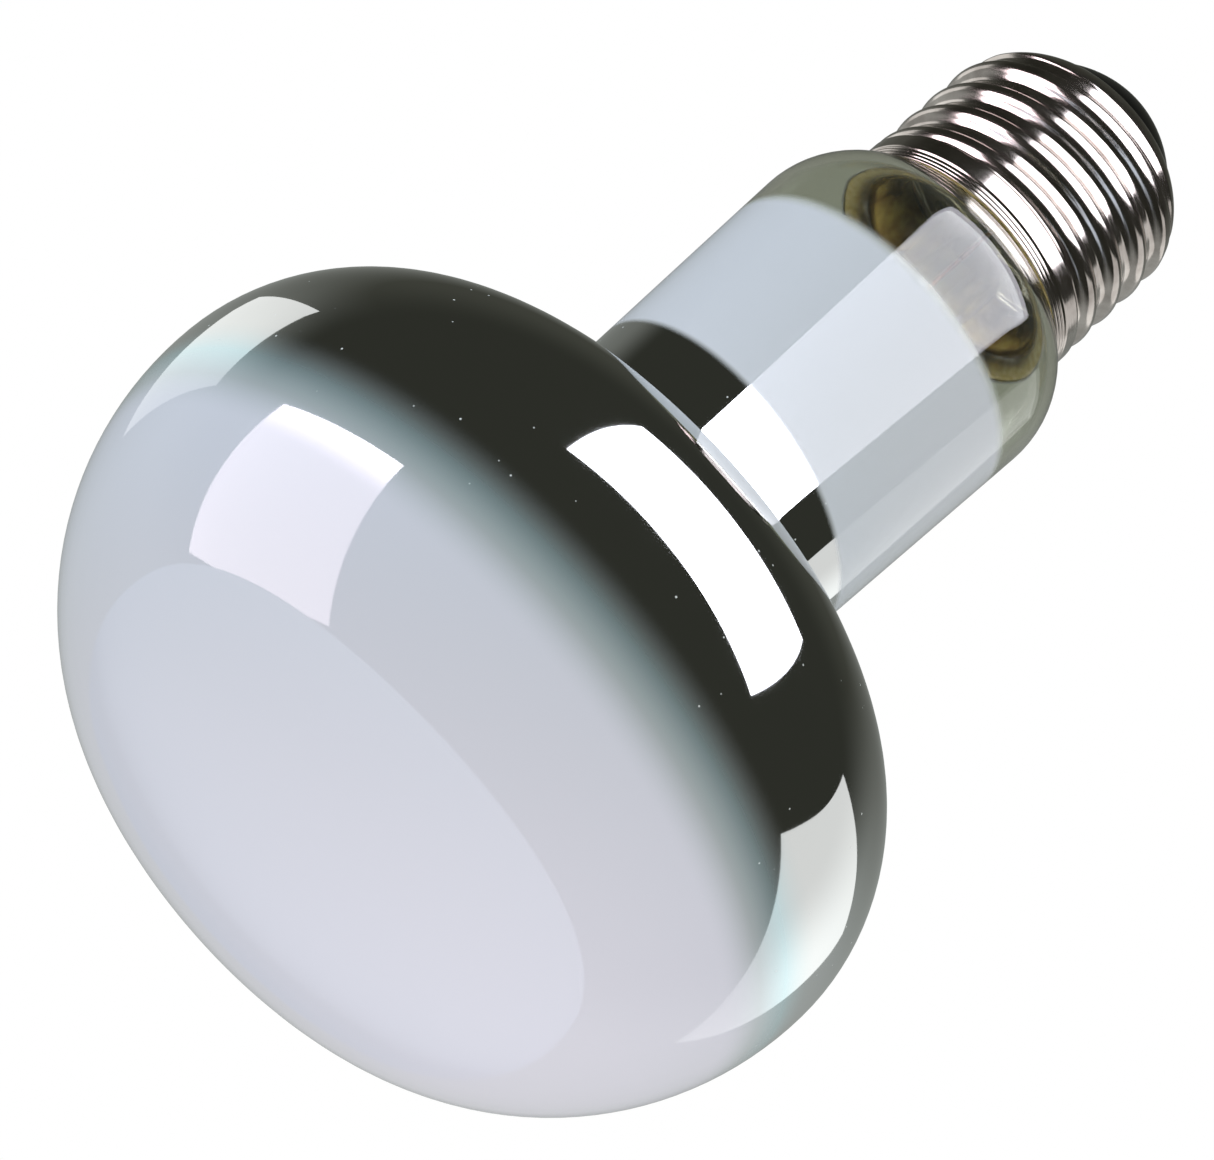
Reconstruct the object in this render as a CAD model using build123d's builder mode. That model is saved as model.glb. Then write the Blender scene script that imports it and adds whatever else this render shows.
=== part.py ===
from build123d import *
import os
from math import acos, asin, atan2, cos, degrees, radians, sin, sqrt

# Reflector bulb: a blown glass bulb with a mirrored back on an E27 screw cap.
# The axis is Z with the cap up, and the origin is the middle of the face that the bulb stands on.

# Blown glass bulb, outer sizes
BULB_DIAMETER = 80.0
FACE_RADIUS = 64.0
RIM_RADIUS = 29.5
BACK_RADIUS = 20.0
THROAT_RADIUS = 5.0
THROAT_DIAMETER = 32.1
NECK_DIAMETER = 33.9
SHOULDER_HEIGHT = 86.1
SHOULDER_RADIUS = 9.5
STUB_DIAMETER = 22.0
STUB_FILLET = 1.5
STUB_LENGTH = 6.0
GLASS_WALL = 0.9

# E27 screw cap
THREAD_DIAMETER = 26.2
THREAD_PITCH = 3.629
THREAD_DEPTH = 1.05
ROOT_LAND_RISE = 0.06
SHELL_WALL = 0.3
SHELL_LENGTH = 20.3
SKIRT_LENGTH = 3.0
COLLAR_FLANK = 0.9
COLLAR_DIAMETER = 26.3
END_RISE = 6.15
END_RADIUS = 8.0
END_GAP = 0.1
RIM_GAP = 0.2
BEAD_PITCH = 0.42
BEAD_GROOVE_RADIUS = 0.25
BEAD_GROOVE_DEPTH = 0.17
BEAD_COUNT = 3
CEMENT_DEPTH = 6.0
FIT_GAP = 0.05

# Insulator and contact at the end of the cap
LIP_DIAMETER = 19.6
INSULATOR_DEPTH = 5.0
INSULATOR_RISE = 4.35
INSULATOR_DOME_RADIUS = 13.0
INSULATOR_END_DIAMETER = 10.8
CONTACT_DIAMETER = 9.6
CONTACT_THICKNESS = 0.5
CONTACT_HOLE = 2.0
CONTACT_EDGE_FILLET = 0.2
SOLDER_DIAMETER = 5.4
SOLDER_HEIGHT = 0.6
SOLDER_FLAT = 3.0
SIDE_SOLDER_DIAMETER = 1.3
SIDE_SOLDER_RISE = 0.45

# Glass stem
STEM_DIAMETER = 9.4
STEM_WALL = 0.8
FLARE_RADIUS = 4.4
PINCH_WIDTH = 11.0
PINCH_THICKNESS = 4.4
PINCH_LENGTH = 9.0
PINCH_TAPER = 5.0
PINCH_CORNER = 1.2
STEM_LENGTH = 30.0
EXHAUST_DIAMETER = 4.4
EXHAUST_WALL = 0.6
EXHAUST_REACH = 2.0
EXHAUST_TIP = 2.5
ROD_DIAMETER = 3.0
ROD_LENGTH = 16.0
BUTTON_DIAMETER = 6.0

# Wires and filament
LEAD_DIAMETER = 0.7
OUTER_LEAD_DIAMETER = 0.4
LEAD_SPACING = 6.0
LEAD_BEND = 3.0
OUTER_LEAD_BEND = 1.2
SIDE_LEAD_BEND = 0.8
LEAD_STRAIGHT = 4.0
LEAD_DROP = 5.0
FILAMENT_HEIGHT = 36.0
FILAMENT_RING_DIAMETER = 18.0
FILAMENT_COIL_DIAMETER = 0.9
FILAMENT_GAP_ANGLE = 70.0
SUPPORT_DIAMETER = 0.4
SUPPORT_COUNT = 3
SUPPORT_BEND = 1.5

# Circles that the bulb's outline is drawn from, as radius and height of each centre
bulb_radius = BULB_DIAMETER / 2
equator = FACE_RADIUS - sqrt((FACE_RADIUS - RIM_RADIUS) ** 2 - (bulb_radius - RIM_RADIUS) ** 2)
face_angle = degrees(atan2(bulb_radius - RIM_RADIUS, FACE_RADIUS - equator))
back_centre = (bulb_radius - BACK_RADIUS, equator)
throat_centre_radius = THROAT_DIAMETER / 2 + THROAT_RADIUS
throat_rise = sqrt((BACK_RADIUS + THROAT_RADIUS) ** 2 - (throat_centre_radius - back_centre[0]) ** 2)
throat_centre = (throat_centre_radius, equator + throat_rise)
throat_angle = degrees(atan2(throat_rise, throat_centre_radius - back_centre[0]))
shoulder_centre = (NECK_DIAMETER / 2 - SHOULDER_RADIUS, SHOULDER_HEIGHT)
stub_centre_radius = STUB_DIAMETER / 2 + STUB_FILLET
stub_reach = stub_centre_radius - shoulder_centre[0]
stub_rise = sqrt((SHOULDER_RADIUS + STUB_FILLET) ** 2 - stub_reach**2)
stub_centre = (stub_centre_radius, SHOULDER_HEIGHT + stub_rise)
stub_angle = degrees(atan2(stub_rise, stub_reach))
stub_end = stub_centre[1] + STUB_LENGTH

# Slope of the straight neck, which touches the throat circle and the shoulder circle
neck_run = (shoulder_centre[0] - throat_centre[0], shoulder_centre[1] - throat_centre[1])
neck_span = sqrt(neck_run[0] ** 2 + neck_run[1] ** 2)
neck_turn = acos(-(SHOULDER_RADIUS + THROAT_RADIUS) / neck_span)
neck_slope = degrees(neck_turn - atan2(neck_run[1], neck_run[0]))

# Heights of the cap, from where its rim meets the glass shoulder
thread_radius = THREAD_DIAMETER / 2
collar_radius = COLLAR_DIAMETER / 2
rim_inner_radius = collar_radius - SHELL_WALL
rim_reach = rim_inner_radius - RIM_GAP - shoulder_centre[0]
cap_rim = SHOULDER_HEIGHT + sqrt(SHOULDER_RADIUS**2 - rim_reach**2)
skirt_top = cap_rim + SKIRT_LENGTH
cap_end = cap_rim + SHELL_LENGTH
end_start = cap_end - END_RISE
end_centre = (collar_radius + END_GAP - END_RADIUS, end_start)
end_collar = cap_end + 2 * COLLAR_FLANK

# Rounded thread: equal arcs for crest and root that meet without a corner
thread_arc = ((THREAD_PITCH / 2) ** 2 + THREAD_DEPTH**2) / (4 * THREAD_DEPTH)
root_radius = thread_radius - THREAD_DEPTH

# Heights of the glass stem, which hangs from the end of the neck
flare_top = stub_end + STEM_WALL
pinch_end = flare_top - STEM_LENGTH
pinch_top = pinch_end + PINCH_LENGTH
tube_start = pinch_top + PINCH_TAPER
pinch_middle = pinch_end + PINCH_LENGTH / 2
button_height = pinch_end - ROD_LENGTH
contact_seat = cap_end + INSULATOR_RISE
contact_top = contact_seat + CONTACT_THICKNESS
exhaust_shoulder = flare_top + EXHAUST_REACH
exhaust_end = exhaust_shoulder + EXHAUST_TIP
insulator_base = cap_end - INSULATOR_DEPTH
bed_top = cap_end - SHELL_WALL - FIT_GAP
bed_radius = END_RADIUS - SHELL_WALL - FIT_GAP
bed_high = degrees(asin((bed_top - end_start) / bed_radius))

# Radii that the wires run at, and where the side lead leaves the cap's rim
stub_radius = STUB_DIAMETER / 2
land_inner_radius = root_radius + ROOT_LAND_RISE - SHELL_WALL
bed_low = degrees(acos((land_inner_radius - FIT_GAP - end_centre[0]) / bed_radius))
side_lead_radius = (stub_radius + land_inner_radius) / 2
side_lead_turn = flare_top + 2 * SIDE_LEAD_BEND
side_lead_exit = cap_rim + BEAD_COUNT * BEAD_PITCH / 2
ring_radius = FILAMENT_RING_DIAMETER / 2
filament_start = FILAMENT_GAP_ANGLE / 2
filament_sweep = 360 - FILAMENT_GAP_ANGLE


def bulb_outline(inset):
    """Closed half outline of the bulb, moved inwards from its outer skin by inset."""
    throat = THROAT_RADIUS + inset
    shoulder = SHOULDER_RADIUS - inset
    stub = STUB_DIAMETER / 2 - inset
    with BuildSketch(Plane.XZ) as outline:
        with BuildLine():
            CenterArc((0, FACE_RADIUS), FACE_RADIUS - inset, -90, face_angle)
            CenterArc((bulb_radius - RIM_RADIUS, equator), RIM_RADIUS - inset, face_angle - 90, 90 - face_angle)
            CenterArc(back_centre, BACK_RADIUS - inset, 0, throat_angle)
            bend = CenterArc(throat_centre, throat, throat_angle + 180, -throat_angle - neck_slope)
            turn = CenterArc(shoulder_centre, shoulder, -neck_slope, neck_slope + stub_angle)
            Line(bend @ 1, turn @ 0)
            hollow = CenterArc(stub_centre, STUB_FILLET + inset, stub_angle + 180, -stub_angle)
            Polyline(hollow @ 1, (stub, stub_end), (0, stub_end), (0, inset))
        make_face()
    return outline.sketch


def threaded_plug(inset):
    """Solid with the outside of the rolled cap, moved inwards from its outer skin by inset."""
    land = root_radius + ROOT_LAND_RISE - inset
    collar = COLLAR_DIAMETER / 2 - inset
    top = cap_end - inset
    bend = END_RADIUS - inset
    with BuildPart() as plug:
        with BuildSketch(Plane.XZ):
            with BuildLine():
                side = Polyline(
                    (0, cap_rim - inset),
                    (collar, cap_rim - inset),
                    (collar, skirt_top),
                    (land, skirt_top + COLLAR_FLANK),
                    (land, end_collar - COLLAR_FLANK),
                    (collar, end_collar),
                    (collar, end_collar + THREAD_PITCH),
                    (0, end_collar + THREAD_PITCH),
                )
                Line(side @ 1, side @ 0)
            make_face()
        revolve(axis=Axis.Z)

        # One rounded ridge that starts inside the skirt and ends inside a collar past the cap's end
        ridge_start = skirt_top - THREAD_PITCH / 4
        ridge_height = end_collar + THREAD_PITCH / 4 - ridge_start
        crest = thread_arc - inset
        root = thread_arc + inset
        crest_middle = THREAD_DEPTH - thread_arc
        root_middle = thread_arc
        share = root / (2 * thread_arc)
        meet = (root_middle + share * (crest_middle - root_middle), THREAD_PITCH / 2 * (1 - share))
        foot = ROOT_LAND_RISE / 2 - inset
        foot_side = THREAD_PITCH / 2 - sqrt(root**2 - (root_middle - foot) ** 2)
        base = foot - SHELL_WALL
        middle_angle = (atan2(meet[1] - THREAD_PITCH / 2, meet[0] - root_middle)
                        + atan2(foot_side - THREAD_PITCH / 2, foot - root_middle)) / 2
        flank = (root_middle + root * cos(middle_angle), THREAD_PITCH / 2 + root * sin(middle_angle))
        with BuildLine(mode=Mode.PRIVATE) as path:
            Helix(THREAD_PITCH, ridge_height, root_radius, center=(0, 0, ridge_start))
        start = Plane(origin=path.line @ 0, x_dir=(1, 0, 0), z_dir=path.line % 0)
        with BuildSketch(start) as ridge:
            with BuildLine():
                ThreePointArc((meet[0], -meet[1]), (crest_middle + crest, 0), meet)
                for side_sign in (-1, 1):
                    ThreePointArc(
                        (meet[0], side_sign * meet[1]),
                        (flank[0], side_sign * flank[1]),
                        (foot, side_sign * foot_side),
                    )
                Polyline((foot, -foot_side), (base, -foot_side), (base, foot_side), (foot, foot_side))
            make_face()
        sweep(path=path.line, is_frenet=True)

        # Rounded end that the ridge runs out under
        with BuildSketch(Plane.XZ):
            with BuildLine():
                end = CenterArc(end_centre, bend, 0, degrees(asin((top - end_start) / bend)))
                Polyline(end @ 1, (0, top), (0, SHOULDER_HEIGHT), ((end @ 0).X, SHOULDER_HEIGHT), end @ 0)
            make_face()
        revolve(axis=Axis.Z, mode=Mode.INTERSECT)
    return plug.part


def wire(points, bend, diameter):
    """Round wire along points, with its corners bent to one radius."""
    with BuildPart() as bent:
        with BuildLine() as path:
            if bend:
                FilletPolyline(*points, radius=bend)
            else:
                Polyline(*points)
        with BuildSketch(Plane(origin=path.line @ 0, z_dir=path.line % 0)):
            Circle(diameter / 2)
        sweep(path=path.line)
    return bent.part


def polar(radius, angle, height):
    """Point at a radius, an angle in degrees and a height."""
    return (radius * cos(radians(angle)), radius * sin(radians(angle)), height)


def inner_lead_route(side):
    """Points of a stiff lead from the middle of the press to an end of the filament."""
    spread = side * LEAD_SPACING / 2
    end_angle = side * filament_start
    return [
        (0, spread, pinch_middle),
        (0, spread, pinch_end - LEAD_STRAIGHT),
        polar(ring_radius, end_angle, FILAMENT_HEIGHT + LEAD_DROP),
        polar(ring_radius, end_angle, FILAMENT_HEIGHT),
    ]


def support_route(number):
    """Points of a support wire from inside the button to the filament."""
    angle = filament_start + filament_sweep * number / (SUPPORT_COUNT + 1)
    return [
        polar(BUTTON_DIAMETER / 4, angle, button_height),
        polar(BUTTON_DIAMETER, angle, button_height),
        polar(ring_radius, angle, FILAMENT_HEIGHT),
    ]


def filament_coil(diameter):
    """Open ring of coiled wire, drawn as a tube of the coil's outer diameter."""
    with BuildPart() as coil:
        with BuildLine(Plane.XY.offset(FILAMENT_HEIGHT)) as path:
            CenterArc((0, 0), ring_radius, filament_start, filament_sweep)
        with BuildSketch(Plane(origin=path.line @ 0, z_dir=path.line % 0)):
            Circle(diameter / 2)
        sweep(path=path.line)
    return coil.part


centre_lead_route = [
    (0, -LEAD_SPACING / 2, pinch_middle),
    (0, -LEAD_SPACING / 2, exhaust_shoulder),
    (0, 0, exhaust_end + LEAD_SPACING / 2),
    (0, 0, contact_top),
]
side_lead_route = [
    (0, LEAD_SPACING / 2, pinch_middle),
    (0, LEAD_SPACING / 2, side_lead_turn),
    (0, side_lead_radius, side_lead_turn),
    (0, side_lead_radius, skirt_top),
    (0, collar_radius, side_lead_exit),
]

os.makedirs("parts", exist_ok=True)

# Blown glass bulb, open at the end of its neck
with BuildPart() as glass_envelope:
    revolve(bulb_outline(0), axis=Axis.Z)
    revolve(bulb_outline(GLASS_WALL), axis=Axis.Z, mode=Mode.SUBTRACT)
glass_envelope.part.label = "glass_envelope"
export_step(glass_envelope.part, "parts/glass_envelope.step")

# Rolled thin metal shell of the cap, with beads round its rim
with BuildPart() as screw_shell:
    add(threaded_plug(0))
    add(threaded_plug(SHELL_WALL), mode=Mode.SUBTRACT)
    with Locations((0, 0, cap_end)):
        Cylinder(LIP_DIAMETER / 2, 4 * SHELL_WALL, mode=Mode.SUBTRACT)
    groove_middle = collar_radius - BEAD_GROOVE_DEPTH + BEAD_GROOVE_RADIUS
    with BuildSketch(Plane.XZ):
        for bead in range(BEAD_COUNT):
            with Locations((groove_middle, cap_rim + (bead + 0.5) * BEAD_PITCH)):
                Circle(BEAD_GROOVE_RADIUS)
    revolve(axis=Axis.Z, mode=Mode.SUBTRACT)
    add(wire(side_lead_route, SIDE_LEAD_BEND, OUTER_LEAD_DIAMETER + 2 * FIT_GAP), mode=Mode.SUBTRACT)
screw_shell.part.label = "screw_shell"
export_step(screw_shell.part, "parts/screw_shell.step")

# Black glass insulator that fills the end of the shell and stands out of its lip
with BuildPart() as cap_insulator:
    with BuildSketch(Plane.XZ):
        with BuildLine():
            bed = CenterArc(end_centre, bed_radius, bed_low, bed_high - bed_low)
            edge = Polyline(
                bed @ 1,
                (LIP_DIAMETER / 2 - FIT_GAP, bed_top),
                (LIP_DIAMETER / 2 - FIT_GAP, cap_end),
            )
            dome = RadiusArc(edge @ 1, (INSULATOR_END_DIAMETER / 2, contact_seat), -INSULATOR_DOME_RADIUS)
            Polyline(
                dome @ 1,
                (CONTACT_HOLE / 2, contact_seat),
                (CONTACT_HOLE / 2, insulator_base),
                (land_inner_radius - FIT_GAP, insulator_base),
                bed @ 0,
            )
        make_face()
    revolve(axis=Axis.Z)
cap_insulator.part.label = "cap_insulator"
export_step(cap_insulator.part, "parts/cap_insulator.step")

# Brass contact plate with a hole for the centre lead
with BuildPart() as centre_contact:
    with BuildSketch(Plane.XY.offset(contact_seat)):
        Circle(CONTACT_DIAMETER / 2)
        Circle(CONTACT_HOLE / 2, mode=Mode.SUBTRACT)
    extrude(amount=CONTACT_THICKNESS)
    fillet(centre_contact.edges().group_by(Axis.Z)[-1].sort_by(SortBy.LENGTH)[-1], CONTACT_EDGE_FILLET)
centre_contact.part.label = "centre_contact"
export_step(centre_contact.part, "parts/centre_contact.step")

# Solder that closes the hole in the contact plate, with a flat worn on its top
with BuildPart() as contact_solder:
    with BuildSketch(Plane.XZ):
        with BuildLine():
            solder_side = Polyline(
                (0, contact_seat),
                (CONTACT_HOLE / 2 - FIT_GAP, contact_seat),
                (CONTACT_HOLE / 2 - FIT_GAP, contact_top),
                (SOLDER_DIAMETER / 2, contact_top),
            )
            solder_dome = RadiusArc(
                solder_side @ 1, (SOLDER_FLAT / 2, contact_top + SOLDER_HEIGHT), -SOLDER_FLAT / 2
            )
            Polyline(solder_dome @ 1, (0, contact_top + SOLDER_HEIGHT), solder_side @ 0)
        make_face()
    revolve(axis=Axis.Z)
    add(wire(centre_lead_route, OUTER_LEAD_BEND, OUTER_LEAD_DIAMETER + 2 * FIT_GAP), mode=Mode.SUBTRACT)
contact_solder.part.label = "contact_solder"
export_step(contact_solder.part, "parts/contact_solder.step")

# Solder spot over the end of the side lead, on the beads of the rim
with BuildPart() as side_solder:
    dome_radius = ((SIDE_SOLDER_DIAMETER / 2) ** 2 + SIDE_SOLDER_RISE**2) / (2 * SIDE_SOLDER_RISE)
    with Locations((0, collar_radius + SIDE_SOLDER_RISE - dome_radius, side_lead_exit)):
        Sphere(dome_radius)
    with Locations((0, 0, side_lead_exit)):
        Cylinder(collar_radius, 4 * dome_radius, mode=Mode.SUBTRACT)
    add(wire(side_lead_route, SIDE_LEAD_BEND, OUTER_LEAD_DIAMETER + 2 * FIT_GAP), mode=Mode.SUBTRACT)
side_solder.part.label = "side_solder"
export_step(side_solder.part, "parts/side_solder.step")

# Cement between the glass neck and the shell
with BuildPart() as cap_cement:
    with BuildSketch(Plane.XZ):
        with BuildLine():
            Polyline(
                (stub_radius, cap_rim + RIM_GAP),
                (rim_inner_radius - FIT_GAP, cap_rim + RIM_GAP),
                (rim_inner_radius - FIT_GAP, skirt_top - FIT_GAP),
                (land_inner_radius - FIT_GAP, skirt_top + COLLAR_FLANK - FIT_GAP),
                (land_inner_radius - FIT_GAP, cap_rim + CEMENT_DEPTH),
                (stub_radius, cap_rim + CEMENT_DEPTH),
                close=True,
            )
        make_face()
    revolve(axis=Axis.Z)
    revolve(bulb_outline(-FIT_GAP), axis=Axis.Z, mode=Mode.SUBTRACT)
    add(wire(side_lead_route, SIDE_LEAD_BEND, OUTER_LEAD_DIAMETER + 2 * FIT_GAP), mode=Mode.SUBTRACT)
cap_cement.part.label = "cap_cement"
export_step(cap_cement.part, "parts/cap_cement.step")

# Glass stem: a tube flared onto the end of the neck and pressed flat over the wires
with BuildPart() as stem_flare:
    stem_radius = STEM_DIAMETER / 2
    flare_centre = (stem_radius + FLARE_RADIUS, stub_end - FLARE_RADIUS)
    with BuildSketch(Plane.XZ):
        with BuildLine():
            under = CenterArc(flare_centre, FLARE_RADIUS, 180, -90)
            over = CenterArc(flare_centre, FLARE_RADIUS + STEM_WALL, 180, -90)
            Polyline(under @ 1, (stub_radius, stub_end), (stub_radius, flare_top), over @ 1)
            Polyline(over @ 0, (stem_radius - STEM_WALL, tube_start), (stem_radius, tube_start), under @ 0)
        make_face()
    revolve(axis=Axis.Z)
    with BuildSketch(Plane.XY.offset(tube_start)):
        Circle(stem_radius)
    with BuildSketch(Plane.XY.offset(pinch_top)):
        RectangleRounded(PINCH_THICKNESS, PINCH_WIDTH, PINCH_CORNER)
    loft()
    with BuildSketch(Plane.XY.offset(pinch_end)):
        RectangleRounded(PINCH_THICKNESS, PINCH_WIDTH, PINCH_CORNER)
    extrude(amount=PINCH_LENGTH)
    for lead_side in (-1, 1):
        add(wire(inner_lead_route(lead_side), LEAD_BEND, LEAD_DIAMETER + 2 * FIT_GAP), mode=Mode.SUBTRACT)
    for route, bend_radius in ((centre_lead_route, OUTER_LEAD_BEND), (side_lead_route, SIDE_LEAD_BEND)):
        add(wire(route, bend_radius, OUTER_LEAD_DIAMETER + 2 * FIT_GAP), mode=Mode.SUBTRACT)
stem_flare.part.label = "stem_flare"
export_step(stem_flare.part, "parts/stem_flare.step")

# Exhaust tube inside the stem, melted shut inside the cap
with BuildPart() as exhaust_tube:
    with BuildSketch(Plane.XZ):
        with BuildLine():
            Polyline(
                (EXHAUST_DIAMETER / 2 - EXHAUST_WALL, tube_start),
                (EXHAUST_DIAMETER / 2, tube_start),
                (EXHAUST_DIAMETER / 2, exhaust_shoulder),
                (EXHAUST_WALL, exhaust_end),
                (0, exhaust_end),
                (0, exhaust_end - EXHAUST_WALL),
                (EXHAUST_DIAMETER / 2 - EXHAUST_WALL, exhaust_shoulder),
                close=True,
            )
        make_face()
    revolve(axis=Axis.Z)
exhaust_tube.part.label = "exhaust_tube"
export_step(exhaust_tube.part, "parts/exhaust_tube.step")

# Glass rod below the press, ending in the button that holds the support wires
with BuildPart() as support_rod:
    with BuildSketch(Plane.XY.offset(button_height)):
        Circle(ROD_DIAMETER / 2)
    extrude(amount=ROD_LENGTH)
    with Locations((0, 0, button_height)):
        Sphere(BUTTON_DIAMETER / 2)
    for number in range(1, SUPPORT_COUNT + 1):
        add(wire(support_route(number), SUPPORT_BEND, SUPPORT_DIAMETER + 2 * FIT_GAP), mode=Mode.SUBTRACT)
support_rod.part.label = "support_rod"
export_step(support_rod.part, "parts/support_rod.step")

# Filament ring
with BuildPart() as filament:
    add(filament_coil(FILAMENT_COIL_DIAMETER))
filament.part.label = "filament"
export_step(filament.part, "parts/filament.step")

# Stiff leads inside the bulb, which carry the ends of the filament
for lead_side, lead_name in ((-1, "inner_lead_centre"), (1, "inner_lead_side")):
    with BuildPart() as inner_lead:
        add(wire(inner_lead_route(lead_side), LEAD_BEND, LEAD_DIAMETER))
        add(filament_coil(FILAMENT_COIL_DIAMETER + 2 * FIT_GAP), mode=Mode.SUBTRACT)
    inner_lead.part.label = lead_name
    export_step(inner_lead.part, f"parts/{lead_name}.step")

# Copper leads from the press to the centre contact and to the rim of the shell
with BuildPart() as outer_lead_centre:
    add(wire(centre_lead_route, OUTER_LEAD_BEND, OUTER_LEAD_DIAMETER))
outer_lead_centre.part.label = "outer_lead_centre"
export_step(outer_lead_centre.part, "parts/outer_lead_centre.step")

with BuildPart() as outer_lead_side:
    add(wire(side_lead_route, SIDE_LEAD_BEND, OUTER_LEAD_DIAMETER))
outer_lead_side.part.label = "outer_lead_side"
export_step(outer_lead_side.part, "parts/outer_lead_side.step")

# Thin wires from the button that hold the filament ring
for number in range(1, SUPPORT_COUNT + 1):
    with BuildPart() as filament_support:
        add(wire(support_route(number), SUPPORT_BEND, SUPPORT_DIAMETER))
        add(filament_coil(FILAMENT_COIL_DIAMETER + 2 * FIT_GAP), mode=Mode.SUBTRACT)
    filament_support.part.label = f"filament_support_{number}"
    export_step(filament_support.part, f"parts/filament_support_{number}.step")

print(f"rim {cap_rim:.3f}, cap end {cap_end:.3f}, contact {contact_top + SOLDER_HEIGHT:.3f}")
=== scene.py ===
"""Looks of a reflector bulb: blown glass with a mirrored back on a nickel-plated E27 screw cap.

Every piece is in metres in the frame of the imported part: Z is the axis with the cap up, and the
origin is the middle of the domed face. Sizes in the classes are millimetres and are turned to
metres where a mesh is made.
"""
from __future__ import annotations

import logging
from dataclasses import dataclass, field
from enum import Enum
from math import acos, asin, atan2, cos, hypot, pi, radians, sin, sqrt
from typing import Any

import bmesh
import bpy
from mathutils import Matrix, Vector

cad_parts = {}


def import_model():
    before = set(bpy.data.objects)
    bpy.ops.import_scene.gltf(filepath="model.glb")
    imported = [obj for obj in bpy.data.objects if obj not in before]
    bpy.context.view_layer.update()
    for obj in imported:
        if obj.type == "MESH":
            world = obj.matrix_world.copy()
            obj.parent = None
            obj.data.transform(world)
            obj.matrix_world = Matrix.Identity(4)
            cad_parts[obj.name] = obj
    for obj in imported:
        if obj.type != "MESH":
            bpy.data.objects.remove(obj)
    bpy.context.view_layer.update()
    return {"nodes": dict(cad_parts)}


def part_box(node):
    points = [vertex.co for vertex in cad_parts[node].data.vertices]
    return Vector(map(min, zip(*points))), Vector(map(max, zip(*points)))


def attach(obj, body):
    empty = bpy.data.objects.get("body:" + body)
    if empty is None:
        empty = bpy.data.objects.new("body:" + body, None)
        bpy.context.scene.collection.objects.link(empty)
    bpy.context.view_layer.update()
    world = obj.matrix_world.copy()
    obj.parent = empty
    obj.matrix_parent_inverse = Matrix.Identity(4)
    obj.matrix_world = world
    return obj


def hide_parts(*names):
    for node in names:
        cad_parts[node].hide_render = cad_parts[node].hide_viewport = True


LOG = logging.getLogger("reflector_bulb")
MM = 0.001
BODY = "root"
UP = Vector((0.0, 0.0, 1.0))
MERGE_DISTANCE = 1e-7
WHITE = (1.0, 1.0, 1.0, 1.0)

# How much of a noise node's range a pattern is stretched over: the less, the sharper its patches.
NOISE_WIDE = (0.25, 0.75)
NOISE_USUAL = (0.3, 0.7)
NOISE_SHARP = (0.35, 0.65)

# The colour sockets of Blender's Mix node, which have the same names as its other sockets.
MIX_SHARE, MIX_FIRST, MIX_SECOND, MIX_RESULT = 0, 6, 7, 2

Socket = bpy.types.NodeSocket
Colour = tuple[float, float, float, float]
Triple = tuple[float, float, float]
Pair = tuple[float, float]


def linear(hex_colour: str) -> Colour:
    """Turn an sRGB hex value to linear colour.

    Args:
        hex_colour: six hex digits, such as "c8cdd8".

    Returns:
        Linear red, green, blue and an alpha of one.
    """
    shares = [int(hex_colour[i:i + 2], 16) / 255 for i in (0, 2, 4)]
    red, green, blue = (s / 12.92 if s <= 0.04045 else ((s + 0.055) / 1.055) ** 2.4 for s in shares)
    return red, green, blue, 1.0


class Turned:
    """A half outline that is drawn with arcs and lines, and then spun about the axis or filled."""

    def __init__(self, radius: float, height: float) -> None:
        """Start the outline.

        Args:
            radius: radius of its first point, in millimetres.
            height: height of its first point, in millimetres.
        """
        self.mesh = bmesh.new()
        self.tip = self.mesh.verts.new((radius * MM, 0.0, height * MM))
        self.start = self.tip

    def arc(self, centre: Pair, angle: float, steps: int) -> Turned:
        """Draw an arc from the outline's tip.

        Args:
            centre: radius and height of the arc's centre, in millimetres.
            angle: turn in radians, positive when it goes anticlockwise with radius to the right
                and height up.
            steps: number of straight edges in the arc.

        Returns:
            The outline itself.
        """
        made = bmesh.ops.spin(self.mesh, geom=[self.tip], cent=(centre[0] * MM, 0.0, centre[1] * MM),
                              axis=(0.0, -1.0, 0.0), angle=angle, steps=steps)
        self.tip = [v for v in made["geom_last"] if isinstance(v, bmesh.types.BMVert)][0]
        return self

    def line(self, radius: float, height: float, cuts: int = 0) -> Turned:
        """Draw a straight line from the outline's tip.

        Args:
            radius: radius of its end, in millimetres.
            height: height of its end, in millimetres.
            cuts: number of points to cut it at.

        Returns:
            The outline itself.
        """
        start = self.tip.co.copy()
        end = Vector((radius * MM, 0.0, height * MM))
        for step in range(1, cuts + 2):
            self.tip = bmesh.ops.extrude_vert_indiv(self.mesh, verts=[self.tip])["verts"][0]
            self.tip.co = start.lerp(end, step / (cuts + 1))
        return self

    def close(self) -> Turned:
        """Join the outline's tip to its start."""
        self.mesh.edges.new((self.tip, self.start))
        return self

    def fill(self) -> bmesh.types.BMesh:
        """Fill the closed outline with one flat face."""
        bmesh.ops.contextual_create(self.mesh, geom=self.mesh.edges[:])
        return self.mesh

    def spin(self, segments: int) -> bmesh.types.BMesh:
        """Spin the outline about the axis into a closed skin.

        Args:
            segments: number of steps round the axis.

        Returns:
            The mesh, with its poles merged and its faces pointing outwards.
        """
        geometry = self.mesh.verts[:] + self.mesh.edges[:]
        bmesh.ops.spin(self.mesh, geom=geometry, cent=(0.0, 0.0, 0.0), axis=UP, angle=2 * pi,
                       steps=segments, use_merge=True)
        bmesh.ops.remove_doubles(self.mesh, verts=self.mesh.verts[:], dist=MERGE_DISTANCE)
        bmesh.ops.recalc_face_normals(self.mesh, faces=self.mesh.faces[:])
        return self.mesh


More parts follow.
